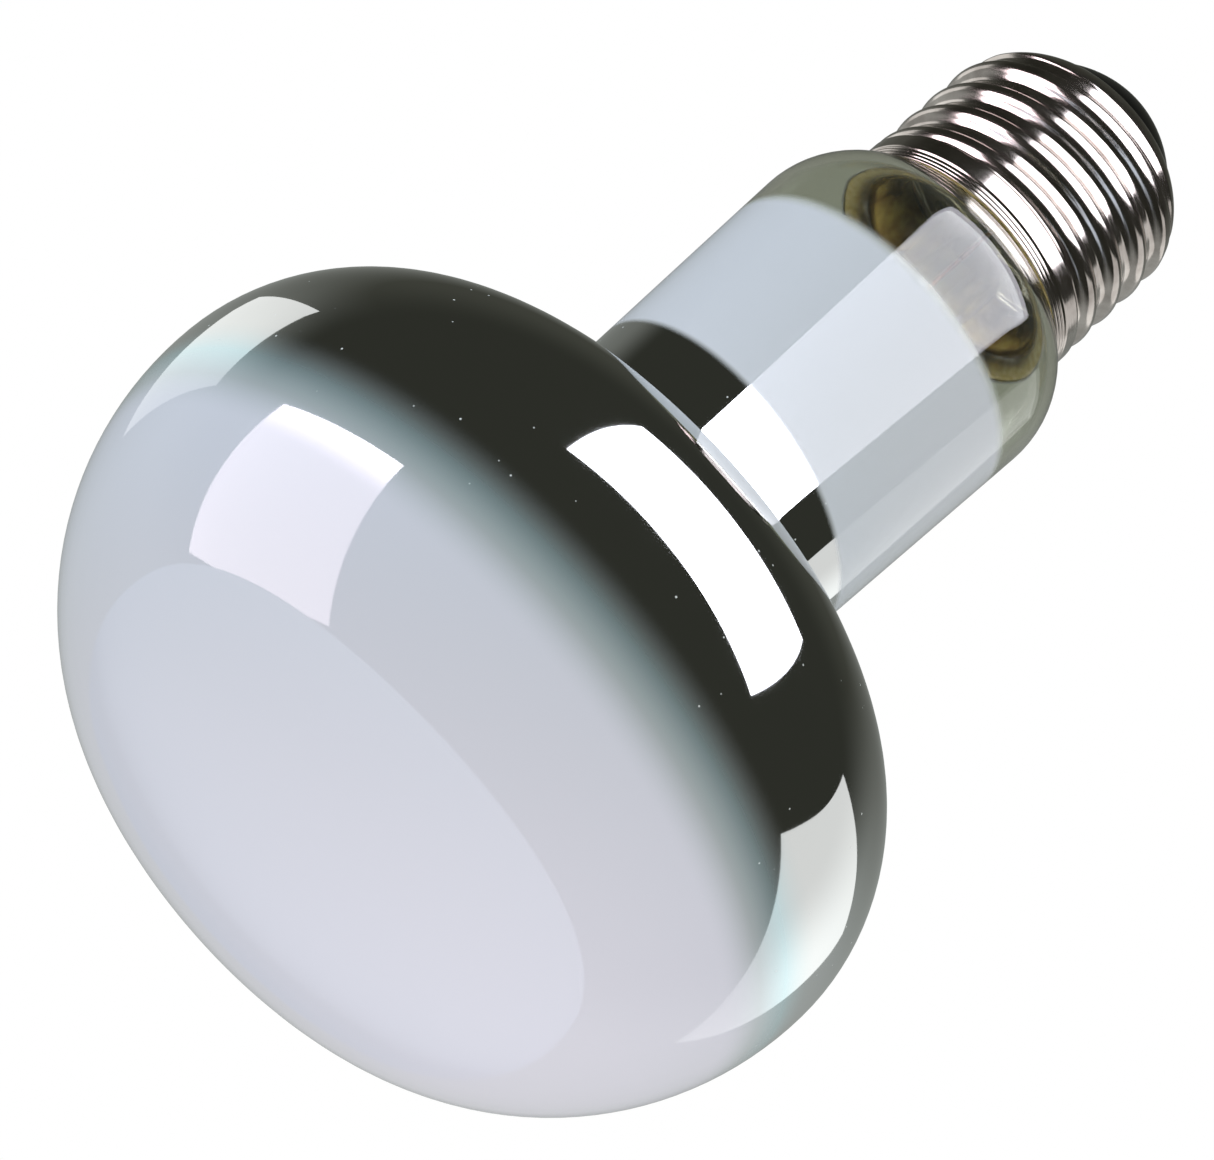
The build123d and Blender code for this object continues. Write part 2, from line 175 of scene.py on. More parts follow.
def finish_piece(mesh: bmesh.types.BMesh, name: str, material: bpy.types.Material, slot: str,
                 *nodes: str) -> bpy.types.Object:
    """Make a finished piece of a mesh.

    Args:
        mesh: mesh in the part's frame; it is freed.
        name: name of the piece.
        material: its finish.
        slot: the record's material slot, which is not used.
        nodes: CAD nodes that the piece stands for.

    Returns:
        The new object, which rides on the part's only body.
    """
    for face in mesh.faces:
        face.smooth = True
    data = bpy.data.meshes.new(name)
    mesh.to_mesh(data)
    mesh.free()
    data.materials.append(material)
    piece = bpy.data.objects.new(name, data)
    bpy.context.scene.collection.objects.link(piece)
    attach(piece, BODY)
    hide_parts(*nodes)
    LOG.info("%s: %d faces", name, len(data.polygons))
    return piece


class Ease(Enum):
    """How a number changes between two places."""

    EVEN = "LINEAR"
    GENTLE = "SMOOTHSTEP"


class Nodes:
    """Adds linked nodes to one node tree."""

    def __init__(self, tree: bpy.types.NodeTree) -> None:
        """Keep the tree that gets the nodes."""
        self.tree = tree

    def add(self, kind: str, settings: dict[Any, Any] | None = None,
            links: dict[Any, Socket] | None = None) -> bpy.types.Node:
        """Add one node with its settings and links.

        Args:
            kind: Blender's name of the node type.
            settings: values by attribute name, input name or input number; "stops" holds the
                places and hex values of a ramp's stops.
            links: output sockets by the input name or number that they feed.

        Returns:
            The new node.
        """
        node = self.tree.nodes.new(kind)
        for name, value in (settings or {}).items():
            if name == "stops":
                while len(node.color_ramp.elements) < len(value):
                    node.color_ramp.elements.new(1.0)
                for element, (place, hex_colour) in zip(node.color_ramp.elements, value):
                    element.position = place
                    element.color = linear(hex_colour)
            elif isinstance(name, str) and hasattr(node, name):
                setattr(node, name, value)
            else:
                node.inputs[name].default_value = value
        for name, socket in (links or {}).items():
            self.tree.links.new(socket, node.inputs[name])
        return node

    def slope(self, place: Socket, way: Triple, reach: Pair, ends: Pair = (0.0, 1.0),
              ease: Ease = Ease.GENTLE) -> Socket:
        """Number that changes along a direction.

        Args:
            place: vector that says where a point is.
            way: the direction.
            reach: where along the direction the change starts and ends.
            ends: the number before the start and after the end.
            ease: how it changes between them.

        Returns:
            The number.
        """
        along = self.add("ShaderNodeVectorMath", {"operation": "DOT_PRODUCT", 1: way}, {0: place})
        settings = {"interpolation_type": ease.value, "From Min": reach[0], "From Max": reach[1],
                    "To Min": ends[0], "To Max": ends[1]}
        made = self.add("ShaderNodeMapRange", settings, {"Value": along.outputs["Value"]})
        return made.outputs["Result"]

    def layered(self, colour: Socket | Colour, *layers: tuple[Socket, Socket | Colour]) -> Socket:
        """Lay colours over each other.

        Args:
            colour: lowest colour, plain or from a node.
            layers: masks and the colours that cover what is below where their mask is one.

        Returns:
            The colour that is seen.
        """
        for mask, layer in layers:
            settings: dict[Any, Any] = {"data_type": "RGBA"}
            links = {MIX_SHARE: mask}
            for place, tone in ((MIX_FIRST, colour), (MIX_SECOND, layer)):
                (settings if isinstance(tone, tuple) else links)[place] = tone
            colour = self.add("ShaderNodeMix", settings, links).outputs[MIX_RESULT]
        return colour


class Surface(Nodes):
    """A procedural material with one shader, fed by patterns on Object coordinates."""

    def __init__(self, name: str, **sockets: Any) -> None:
        """Start the material.

        Args:
            name: name of the material.
            sockets: plain values for the shader's sockets, spaces written as underscores.
        """
        self.material = bpy.data.materials.new(name)
        self.material.use_nodes = True
        super().__init__(self.material.node_tree)
        self.shader = self.tree.nodes["Principled BSDF"]
        self.place = self.add("ShaderNodeTexCoord").outputs["Object"]
        for socket, value in sockets.items():
            self.shader.inputs[socket.replace("_", " ")].default_value = value

    def feed(self, **sockets: Socket) -> None:
        """Link output sockets to the shader's inputs, spaces written as underscores."""
        for name, socket in sockets.items():
            self.tree.links.new(socket, self.shader.inputs[name.replace("_", " ")])

    def rising(self, low: float, high: float, lean: float = 0.0) -> Socket:
        """Mask that goes gently from zero to one between two heights in millimetres, or leans."""
        return self.slope(self.place, (lean, 0.0, 1.0), (low * MM, high * MM))

    def grain(self, width: float, stretch: Triple = (1.0, 1.0, 1.0), detail: float = 3.0) -> Socket:
        """Noise with a grain of a real width.

        Args:
            width: width of the grain in millimetres.
            stretch: how much finer the grain is along each axis.
            detail: number of finer layers.

        Returns:
            The noise as a number from 0 to 1.
        """
        turned = self.add("ShaderNodeMapping", {"Scale": stretch}, {"Vector": self.place})
        made = self.add("ShaderNodeTexNoise", {"Scale": 1 / (width * MM), "Detail": detail},
                        {"Vector": turned.outputs[0]})
        return made.outputs["Fac"]

    def specks(self, spacing: float, size: float, share: float) -> Socket:
        """Mask of sparse round specks.

        Args:
            spacing: mean distance in millimetres between the places where a speck can be.
            size: widest radius of a speck in millimetres.
            share: share of the places that have a speck.

        Returns:
            One on a speck and zero elsewhere.
        """
        solid_share, draw_edge = 0.5, 0.01
        reach = size / spacing
        cells = self.add("ShaderNodeTexVoronoi", {"Scale": 1 / (spacing * MM)}, {"Vector": self.place})
        near = {"From Min": solid_share * reach, "From Max": reach, "To Min": 1.0, "To Max": 0.0}
        speck = self.add("ShaderNodeMapRange", near, {"Value": cells.outputs["Distance"]})
        drawn = self.slope(cells.outputs["Color"], (1.0, 0.0, 0.0), (share, share + draw_edge),
                           (1.0, 0.0), Ease.EVEN)
        links = {0: speck.outputs["Result"], 1: drawn}
        return self.add("ShaderNodeMath", {"operation": "MULTIPLY"}, links).outputs[0]

    def tone(self, noise: Socket, reach: Pair, dark_hex: str, light_hex: str) -> None:
        """Vary the shader's colour from dark to light over a reach of a noise."""
        settings = {"stops": ((reach[0], dark_hex), (reach[1], light_hex))}
        self.feed(Base_Color=self.add("ShaderNodeValToRGB", settings, {"Fac": noise}).outputs[0])

    def gloss(self, noise: Socket, reach: Pair, roughness: Pair) -> None:
        """Vary the shader's roughness over a reach of a noise."""
        settings = dict(zip(("From Min", "From Max", "To Min", "To Max"), reach + roughness))
        self.feed(Roughness=self.add("ShaderNodeMapRange", settings, {"Value": noise}).outputs[0])

    def relief(self, noise: Socket, depth: float) -> None:
        """Raise the surface by a noise, with a depth in millimetres."""
        settings = {"Distance": depth * MM, "Strength": 1.0}
        self.feed(Normal=self.add("ShaderNodeBump", settings, {"Height": noise}).outputs[0])


@dataclass(frozen=True)
class CoatedGlass:
    """Blown soda glass, frosted inside its face and neck and mirrored inside its back.

    The skin is smooth and glossy all over. Behind it the eye sees chalky frost, a bright aluminium
    film that fades into the frost at the front and stops at a line on the neck, clear glass next
    to the cap, and the brown of the cement where that grips the glass inside the cap.
    """

    ior: float = 1.5
    roughness: Pair = (0.02, 0.05)
    gloss_grain: float = 6.0
    frost_hex: str = "dcdde8"
    neck_frost_hex: str = "d4d6dc"
    haze_hex: str = "ccd4d8"
    haze_share: float = 0.3
    fade_hex: str = "cbe1e5"
    fade_share: float = 0.7
    film_hex: str = "dcdedd"
    clear_hex: str = "eef2ec"
    fade_low: float = 20.0
    fade_high: float = 29.5
    film_end: float = 61.6
    film_edge: float = 0.9
    film_tilt: float = 0.103
    clear_start: float = 81.5
    clear_edge: float = 1.8
    dust_hex: str = "e9ebea"
    dust_spacing: float = 1.6
    dust_size: float = 0.13
    dust_share: float = 0.4
    grip_dark_hex: str = "5d4a2c"
    grip_light_hex: str = "9a8a50"
    grip_start: float = 95.0
    grip_edge: float = 0.8
    grip_grain: float = 3.0

    def material(self) -> bpy.types.Material:
        """Build the finish with masks by height.

        Returns:
            The new material.
        """
        skin = Surface("blown_glass_frosted_and_mirrored", IOR=self.ior)
        film_low = self.film_end - self.film_edge / 2
        clear_low = self.clear_start - self.clear_edge / 2
        fade = skin.rising(self.fade_low, self.fade_high)
        neck = skin.rising(film_low, film_low + self.film_edge, self.film_tilt)
        clear = skin.rising(clear_low, clear_low + self.clear_edge)
        # The brown tint starts before the glass stops being clear, so no pale ring is left between.
        tint = skin.rising(self.grip_start - self.grip_edge, self.grip_start)
        grip = skin.rising(self.grip_start, self.grip_start + self.grip_edge)
        less, times = {"operation": "SUBTRACT"}, {"operation": "MULTIPLY"}
        film = skin.add("ShaderNodeMath", less, {0: fade, 1: neck}).outputs[0]
        specks = skin.specks(self.dust_spacing, self.dust_size, self.dust_share)
        dust = skin.add("ShaderNodeMath", times, {0: specks, 1: film}).outputs[0]
        stops = ((0.0, self.frost_hex), (self.haze_share, self.haze_hex),
                 (self.fade_share, self.fade_hex), (1.0, self.film_hex))
        face = skin.add("ShaderNodeValToRGB", {"stops": stops}, {"Fac": fade})
        stops = tuple(zip(NOISE_SHARP, (self.grip_dark_hex, self.grip_light_hex)))
        stuck = skin.add("ShaderNodeValToRGB", {"stops": stops}, {"Fac": skin.grain(self.grip_grain)})
        colour = skin.layered(face.outputs[0], (neck, linear(self.neck_frost_hex)),
                              (clear, linear(self.clear_hex)), (dust, linear(self.dust_hex)),
                              (tint, stuck.outputs[0]))
        metal = skin.add("ShaderNodeMath", less, {0: film, 1: dust}).outputs[0]
        glass = skin.add("ShaderNodeMath", less, {0: clear, 1: grip}).outputs[0]
        skin.feed(Base_Color=colour, Metallic=metal, Transmission_Weight=glass)
        skin.gloss(skin.grain(self.gloss_grain), NOISE_USUAL, self.roughness)
        return skin.material


@dataclass(frozen=True)
class NickelPlate:
    """Nickel plate on a rolled brass shell: warm bright metal with fine lines round it.

    The lines come from the rolling. Real ones are some hundredths of a millimetre wide, and these
    are drawn coarser so that they show.
    """

    dark_hex: str = "a59d97"
    light_hex: str = "c6bfb9"
    roughness: Pair = (0.1, 0.2)
    line_width: float = 0.25
    line_length: float = 4.0
    line_depth: float = 0.004
    stain_width: float = 3.0

    def material(self) -> bpy.types.Material:
        """Build the finish with lines that run round the cap.

        Returns:
            The new material.
        """
        plate = Surface("nickel_plated_rolled_shell", Metallic=1.0)
        lines = plate.grain(self.line_length, (1.0, 1.0, self.line_length / self.line_width))
        stains = plate.grain(self.stain_width)
        plate.tone(stains, NOISE_USUAL, self.dark_hex, self.light_hex)
        plate.gloss(lines, NOISE_WIDE, self.roughness)
        plate.relief(lines, self.line_depth)
        return plate.material


@dataclass(frozen=True)
class Plain:
    """A finish whose colour and roughness vary with one grain, such as cement or drawn wire."""

    name: str
    dark_hex: str
    light_hex: str
    grain_width: float
    roughness: Pair
    relief: float
    metallic: float = 1.0

    def material(self) -> bpy.types.Material:
        """Build the finish.

        Returns:
            The new material.
        """
        made = Surface(self.name, Metallic=self.metallic)
        grain = made.grain(self.grain_width)
        made.tone(grain, NOISE_SHARP, self.dark_hex, self.light_hex)
        made.gloss(grain, NOISE_USUAL, self.roughness)
        made.relief(grain, self.relief)
        return made.material


@dataclass(frozen=True)
class StemGlass:
    """Lead glass tube, clear and faintly green, with soft streaks from the drawing."""

    tint_hex: str = "e6efe6"
    light_hex: str = "f4f8f4"
    ior: float = 1.55
    roughness: Pair = (0.01, 0.04)
    streak_width: float = 1.2
    streak_stretch: float = 0.1

    def material(self) -> bpy.types.Material:
        """Build the finish with streaks along the axis.

        Returns:
            The new material.
        """
        made = Surface("drawn_lead_glass", IOR=self.ior, Transmission_Weight=1.0)
        streaks = made.grain(self.streak_width, (1.0, 1.0, self.streak_stretch))
        made.tone(streaks, NOISE_USUAL, self.tint_hex, self.light_hex)
        made.gloss(streaks, NOISE_USUAL, self.roughness)
        return made.material


class Finish(Enum):
    """The finishes of the bulb."""

    GLASS = CoatedGlass()
    NICKEL = NickelPlate()
    STEM = StemGlass()
    # Fired cement: dry, sandy brown with no gloss.
    CEMENT = Plain("cap_cement_fired", "a38f52", "bdae82", grain_width=0.8, roughness=(0.75, 0.95),
                   relief=0.08, metallic=0.0)
    # Moulded black glass: deep black with a wet gloss that waves a little.
    BLACK_GLASS = Plain("black_vitrite_glass", "0a0a0c", "141318", grain_width=2.5,
                        roughness=(0.08, 0.2), relief=0.02, metallic=0.0)
    # Stamped brass: yellow metal, satin from the die.
    BRASS = Plain("stamped_brass", "a5823f", "c8a765", grain_width=0.9, roughness=(0.22, 0.4),
                  relief=0.01)
    # Tin solder: grey metal that set with soft lumps and dull patches.
    SOLDER = Plain("tin_solder", "8f908f", "c2c3c1", grain_width=0.7, roughness=(0.25, 0.5),
                   relief=0.05)
    # Drawn wires: satin metal, warm grey, copper red or dark grey. Their die marks are finer than
    # this grain, which is drawn coarser so that it shows.
    NICKEL_WIRE = Plain("drawn_nickel_wire", "8d8883", "bdb6af", grain_width=0.6,
                        roughness=(0.25, 0.4), relief=0.005)
    COPPER_WIRE = Plain("drawn_copper_wire", "96572f", "c98a5e", grain_width=0.6,
                        roughness=(0.25, 0.4), relief=0.005)
    FILAMENT = Plain("drawn_tungsten_wire", "3b3c3f", "6a6b6e", grain_width=0.4,
                     roughness=(0.35, 0.55), relief=0.004)


class Finishes:
    """Makes each finish's material once."""

    def __init__(self) -> None:
        """Start with no materials made."""
        self.made: dict[Finish, bpy.types.Material] = {}

    def get(self, finish: Finish) -> bpy.types.Material:
        """Give the material of a finish, made on its first use.

        Args:
            finish: the finish.

        Returns:
            Its material.
        """
        if finish not in self.made:
            self.made[finish] = finish.value.material()
        return self.made[finish]


@dataclass
class GlassBulb:
    """The blown glass envelope: dome, rounded rim, mirrored back, straight neck and shoulder."""

    finishes: Finishes
    bulb_radius: float = 40.0
    face_radius: float = 64.0
    rim_radius: float = 29.5
    back_radius: float = 20.0
    throat_radius: float = 5.0
    throat_diameter: float = 32.1
    neck_diameter: float = 33.9
    shoulder_height: float = 86.1
    shoulder_radius: float = 9.5
    stub_diameter: float = 22.0
    stub_fillet: float = 1.5
    stub_length: float = 6.0
    wall: float = 0.9
    face_steps: int = 16
    rim_steps: int = 30
    throat_steps: int = 14
    neck_cuts: int = 9
    shoulder_steps: int = 14
    stub_steps: int = 8
    segments: int = 256

    def __post_init__(self) -> None:
        """Work out the centres and turns of the outline's arcs."""
        rim_offset = self.bulb_radius - self.rim_radius
        face_reach = self.face_radius - self.rim_radius
        self.equator = self.face_radius - sqrt(face_reach**2 - rim_offset**2)
        self.face_turn = atan2(rim_offset, self.face_radius - self.equator)
        self.rim_centre = (rim_offset, self.equator)
        self.back_centre = (self.bulb_radius - self.back_radius, self.equator)
        throat_reach = self.throat_diameter / 2 + self.throat_radius
        throat_side = throat_reach - self.back_centre[0]
        throat_rise = sqrt((self.back_radius + self.throat_radius) ** 2 - throat_side**2)
        self.throat_centre = (throat_reach, self.equator + throat_rise)
        self.throat_turn = atan2(throat_rise, throat_side)
        self.shoulder_centre = (self.neck_diameter / 2 - self.shoulder_radius, self.shoulder_height)
        stub_reach = self.stub_diameter / 2 + self.stub_fillet
        stub_side = stub_reach - self.shoulder_centre[0]
        stub_rise = sqrt((self.shoulder_radius + self.stub_fillet) ** 2 - stub_side**2)
        self.stub_centre = (stub_reach, self.shoulder_height + stub_rise)
        self.stub_turn = atan2(stub_rise, stub_side)
        self.stub_end = self.stub_centre[1] + self.stub_length
        run = (self.shoulder_centre[0] - self.throat_centre[0],
               self.shoulder_centre[1] - self.throat_centre[1])
        reach = acos(-(self.shoulder_radius + self.throat_radius) / hypot(*run))
        self.neck_slope = reach - atan2(run[1], run[0])

    def build(self) -> bpy.types.Object:
        """Build the envelope with its outer and inner skin.

        Returns:
            The piece that stands for the glass.
        """
        slope = self.neck_slope
        face_centre = (0.0, self.face_radius)
        rim_turn = pi / 2 - self.face_turn
        stub = self.stub_diameter / 2
        bore = stub - self.wall
        throat = self.throat_radius + self.wall
        outline = Turned(0.0, 0.0)
        outline.arc(face_centre, self.face_turn, self.face_steps)
        outline.arc(self.rim_centre, rim_turn, self.rim_steps)
        outline.arc(self.back_centre, self.throat_turn, self.rim_steps)
        outline.arc(self.throat_centre, -self.throat_turn - slope, self.throat_steps)
        outline.line(self.shoulder_centre[0] + self.shoulder_radius * cos(slope),
                     self.shoulder_centre[1] - self.shoulder_radius * sin(slope), self.neck_cuts)
        outline.arc(self.shoulder_centre, slope + self.stub_turn, self.shoulder_steps)
        outline.arc(self.stub_centre, -self.stub_turn, self.stub_steps)
        outline.line(stub, self.stub_end)
        outline.line(bore, self.stub_end)
        outline.line(bore, self.stub_centre[1])
        outline.arc(self.stub_centre, self.stub_turn, self.stub_steps)
        outline.arc(self.shoulder_centre, -slope - self.stub_turn, self.shoulder_steps)
        outline.line(self.throat_centre[0] - throat * cos(slope),
                     self.throat_centre[1] + throat * sin(slope), self.neck_cuts)
        outline.arc(self.throat_centre, self.throat_turn + slope, self.throat_steps)
        outline.arc(self.back_centre, -self.throat_turn, self.rim_steps)
        outline.arc(self.rim_centre, -rim_turn, self.rim_steps)
        outline.arc(face_centre, -self.face_turn, self.face_steps)
        return finish_piece(outline.spin(self.segments), "bulb_glass",
                            self.finishes.get(Finish.GLASS), "blown_glass", "glass_envelope")


@dataclass
class ScrewCap:
    """The rolled shell of the cap, with its round thread and beaded rim."""

    finishes: Finishes
    rim: float
    thread_diameter: float = 26.2
    pitch: float = 3.629
    depth: float = 1.05
    land_rise: float = 0.06
    wall: float = 0.3
    length: float = 20.3
    skirt_length: float = 3.0
    flank: float = 0.9
    collar_diameter: float = 26.3
    end_rise: float = 6.15
    end_radius: float = 8.0
    end_gap: float = 0.1
    edge_blend: float = 0.12
    lip_diameter: float = 19.6
    bead_pitch: float = 0.42
    bead_groove_radius: float = 0.25
    bead_groove_depth: float = 0.17
    bead_count: int = 3
    row_height: float = 0.12
    bead_row_height: float = 0.045
    segments: int = 256

    def __post_init__(self) -> None:
        """Work out the heights and the thread's arcs."""
        self.skirt_top = self.rim + self.skirt_length
        self.end = self.rim + self.length
        self.end_start = self.end - self.end_rise
        self.collar = self.collar_diameter / 2
        self.end_centre = (self.collar + self.end_gap - self.end_radius, self.end_start)
        self.root = self.thread_diameter / 2 - self.depth
        self.land = self.root + self.land_rise
        self.arc = ((self.pitch / 2) ** 2 + self.depth**2) / (4 * self.depth)
        self.ridge_start = self.skirt_top - self.pitch / 4
        self.beads_top = self.rim + self.bead_count * self.bead_pitch

    def thread(self, height: float, angle: float) -> float:
        """Radius of the round thread.

        Args:
            height: height in millimetres.
            angle: angle round the axis in radians.

        Returns:
            The radius in millimetres of crest and root arcs that meet without a corner.
        """
        turns = (height - self.ridge_start) / self.pitch - angle / (2 * pi)
        off = (turns - round(turns)) * self.pitch
        if abs(off) < self.pitch / 4:
            return self.root + self.depth - self.arc + sqrt(self.arc**2 - off**2)
        return self.root + self.arc - sqrt(self.arc**2 - (self.pitch / 2 - abs(off)) ** 2)

    def beads(self, height: float) -> float:
        """Outer radius of the beaded rim.

        Args:
            height: height in millimetres.

        Returns:
            The radius in millimetres, less in the grooves between the beads.
        """
        groove = round((height - self.rim) / self.bead_pitch - 0.5)
        off = height - self.rim - (groove + 0.5) * self.bead_pitch
        reach = sqrt(max(self.bead_groove_radius**2 - off**2, 0.0))
        return self.collar - max(reach - self.bead_groove_radius + self.bead_groove_depth, 0.0)

    def rolled(self, height: float, angle: float) -> float:
        """Outer radius of the shell behind its beads.

        Args:
            height: height in millimetres.
            angle: angle round the axis in radians.

        Returns:
            The radius in millimetres of the skirt, the thread or the rounded end.
        """
        share = min(max(1 + (self.skirt_top - height) / self.flank, 0.0), 1.0)
        base = self.land + (self.collar - self.land) * share
        ridge = max(base, self.thread(height, angle)) if share < 1 else base
        return self.blend(ridge, self.skin(height, self.end_radius))

    def skin(self, height: float, radius: float) -> float:
        """Radius of the rounded end under which the thread runs out, the widest one below it."""
        rise = max(height - self.end_start, 0.0)
        return self.end_centre[0] + sqrt(max(radius**2 - rise**2, 0.0))

    def blend(self, ridge: float, skin: float) -> float:
        """Soften the edge where the rounded end cuts the thread."""
        share = max(self.edge_blend - abs(ridge - skin), 0.0) / self.edge_blend
        return min(ridge, skin) - share**2 * self.edge_blend / 4

    def outside(self, height: float, angle: float) -> float:
        """Outer radius of the shell in millimetres."""
        return self.beads(height) if height < self.beads_top else self.rolled(height, angle)

    def inside(self, height: float, angle: float) -> float:
        """Inner radius of the shell in millimetres, plain behind the beads."""
        plain = self.rolled(max(height, self.beads_top), angle) - self.wall
        return min(plain, self.skin(height, self.end_radius - self.wall))

    def build(self) -> bpy.types.Object:
        """Build the shell by spinning it plain and rolling the thread and beads into it.

        Returns:
            The piece that stands for the shell.
        """
        bead_cuts = round((self.beads_top - self.rim) / self.bead_row_height)
        cuts = round((self.end - self.beads_top) / self.row_height)
        inner = self.collar - self.wall
        lip = self.lip_diameter / 2
        outline = Turned(self.collar, self.rim)
        outline.line(self.collar, self.beads_top, bead_cuts)
        outline.line(self.collar, self.end, cuts)
        outline.line(lip, self.end)
        outline.line(lip, self.end - self.wall)
        outline.line(inner, self.end - self.wall)
        outline.line(inner, self.rim, cuts)
        mesh = outline.close().spin(self.segments)
        for vert in mesh.verts:
            reach = vert.co.xy.length / MM
            if reach > (lip + inner) / 2:
                height = vert.co.z / MM
                angle = atan2(vert.co.y, vert.co.x)
                roll = self.outside if reach > self.collar - self.wall / 2 else self.inside
                vert.co.xy = vert.co.xy.normalized() * roll(height, angle) * MM
        return finish_piece(mesh, "screw_cap", self.finishes.get(Finish.NICKEL), "nickel_shell",
                            "screw_shell")


@dataclass
class CapEnd:
    """The end of the cap: black glass insulator, brass contact and the drop of solder on it."""

    finishes: Finishes
    shell: ScrewCap
    fit_gap: float = 0.05
    depth: float = 5.0
    rise: float = 4.35
    dome_radius: float = 13.0
    dome_steps: int = 10
    bed_steps: int = 10
    end_diameter: float = 10.8
    contact_diameter: float = 9.6
    contact_thickness: float = 0.5
    contact_edge: float = 0.2
    contact_edge_steps: int = 5
    hole_diameter: float = 2.0
    solder_diameter: float = 5.4
    solder_height: float = 0.6
    solder_side: Pair = (0.25, 0.55)
    solder_crown: Pair = (0.3, 0.93)
    solder_flat: float = 3.0
    segments: int = 96

    def __post_init__(self) -> None:
        """Work out the heights and the hole."""
        self.seat = self.shell.end + self.rise
        self.top = self.seat + self.contact_thickness
        self.hole = self.hole_diameter / 2

    def build(self) -> list[bpy.types.Object]:
        """Build the insulator, the contact and the solder."""
        return [self.build_insulator(), self.build_contact(), self.build_solder()]

    def build_insulator(self) -> bpy.types.Object:
        """Spin the black glass that fills the end of the shell.

        Returns:
            The piece that stands for the insulator.
        """
        shell = self.shell
        base = shell.end - self.depth
        lip = shell.lip_diameter / 2 - self.fit_gap
        bed_top = shell.end - shell.wall - self.fit_gap
        bed = shell.end_radius - shell.wall - self.fit_gap
        side = shell.land - shell.wall - self.fit_gap
        low = acos((side - shell.end_centre[0]) / bed)
        high = asin((bed_top - shell.end_start) / bed)
        run = (self.end_diameter / 2 - lip, self.seat - shell.end)
        chord = hypot(*run)
        reach = sqrt(self.dome_radius**2 - chord**2 / 4) / chord
        dome_centre = (lip + run[0] / 2 - run[1] * reach, shell.end + run[1] / 2 + run[0] * reach)
        outline = Turned(self.hole, base)
        outline.line(side, base)
        outline.line(side, shell.end_start + bed * sin(low))
        outline.arc(shell.end_centre, high - low, self.bed_steps)
        outline.line(lip, bed_top)
        outline.line(lip, shell.end)
        outline.arc(dome_centre, 2 * asin(chord / (2 * self.dome_radius)), self.dome_steps)
        outline.line(self.hole, self.seat)
        return finish_piece(outline.close().spin(self.segments), "end_insulator",
                            self.finishes.get(Finish.BLACK_GLASS), "black_glass", "cap_insulator")

    def build_contact(self) -> bpy.types.Object:
        """Spin the brass plate with its rounded edge.

        Returns:
            The piece that stands for the contact.
        """
        edge = self.contact_diameter / 2
        bend = (edge - self.contact_edge, self.top - self.contact_edge)
        outline = Turned(self.hole, self.seat)
        outline.line(edge, self.seat)
        outline.line(edge, bend[1])
        outline.arc(bend, pi / 2, self.contact_edge_steps)
        outline.line(self.hole, self.top)
        return finish_piece(outline.close().spin(self.segments), "end_contact",
                            self.finishes.get(Finish.BRASS), "brass_contact", "centre_contact")

    def build_solder(self) -> bpy.types.Object:
        """Spin the drop of solder in the plate's hole, with its flat top.

        Returns:
            The piece that stands for the solder.
        """
        hole = self.hole - self.fit_gap
        edge = self.solder_diameter / 2
        flat = self.solder_flat / 2
        outline = Turned(0.0, self.seat)
        outline.line(hole, self.seat)
        outline.line(hole, self.top)
        outline.line(edge, self.top)
        outline.line(edge - self.solder_side[0], self.top + self.solder_height * self.solder_side[1])
        outline.line(flat + self.solder_crown[0], self.top + self.solder_height * self.solder_crown[1])
        outline.line(flat, self.top + self.solder_height)
        outline.line(0.0, self.top + self.solder_height)
        return finish_piece(outline.spin(self.segments), "end_solder",
                            self.finishes.get(Finish.SOLDER), "solder", "contact_solder")


@dataclass
class Insides:
    """The pieces inside the bulb and the cap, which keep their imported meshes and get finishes."""

    finishes: Finishes
    nodes: dict[str, bpy.types.Object]
    by_finish: dict[Finish, tuple[str, ...]] = field(default_factory=lambda: {
        Finish.CEMENT: ("cap_cement",),
        Finish.SOLDER: ("side_solder",),
        Finish.STEM: ("stem_flare", "exhaust_tube", "support_rod"),
        Finish.NICKEL_WIRE: ("inner_lead_centre", "inner_lead_side"),
        Finish.COPPER_WIRE: ("outer_lead_centre", "outer_lead_side"),
        Finish.FILAMENT: ("filament", "filament_support_1", "filament_support_2",
                          "filament_support_3"),
    })

    def dress(self) -> None:
        """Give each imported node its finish."""
        for finish, names in self.by_finish.items():
            for name in names:
                slots = self.nodes[name].data.materials
                slots.clear()
                slots.append(self.finishes.get(finish))
                LOG.info("%s: %s", name, finish.name)


class Role(Enum):
    """What a flat light does: whether matt surfaces, mirrors and the view through glass get it."""

    MIRRORED = (False, True, True)
    LIGHTING = (True, False, False)
    GLOW = (True, True, True)


class Shape(Enum):
    """The outline of a flat light."""

    SQUARE = "RECTANGLE"
    ROUND = "ELLIPSE"


@dataclass(frozen=True)
class Softbox:
    """A flat light, placed in millimetres."""

    name: str
    role: Role
    centre: Triple
    facing: Triple
    across: Triple
    width: float
    height: float
    radiance: float
    tint_hex: str = "ffffff"
    shape: Shape = Shape.SQUARE
    spread: float = 180.0

    def build(self) -> bpy.types.Object:
        """Place the light.

        Returns:
            The light's object, which the camera doesn't see.
        """
        lamp = bpy.data.lights.new(self.name, "AREA")
        lamp.shape = self.shape.value
        lamp.spread = radians(self.spread)
        lamp.size = self.width * MM
        lamp.size_y = self.height * MM
        lamp.energy = self.radiance * pi * lamp.size * lamp.size_y
        lamp.color = linear(self.tint_hex)[:3]
        away = Vector(self.facing).normalized()
        across = Vector(self.across)
        across = (across - away * away.dot(across)).normalized()
        turn = Matrix((across, away.cross(across), away)).transposed().to_4x4()
        light = bpy.data.objects.new(self.name, lamp)
        light.matrix_world = Matrix.Translation(Vector(self.centre) * MM) @ turn
        light.visible_camera = False
        light.visible_diffuse, light.visible_glossy, light.visible_transmission = self.role.value
        bpy.context.scene.collection.objects.link(light)
        return light


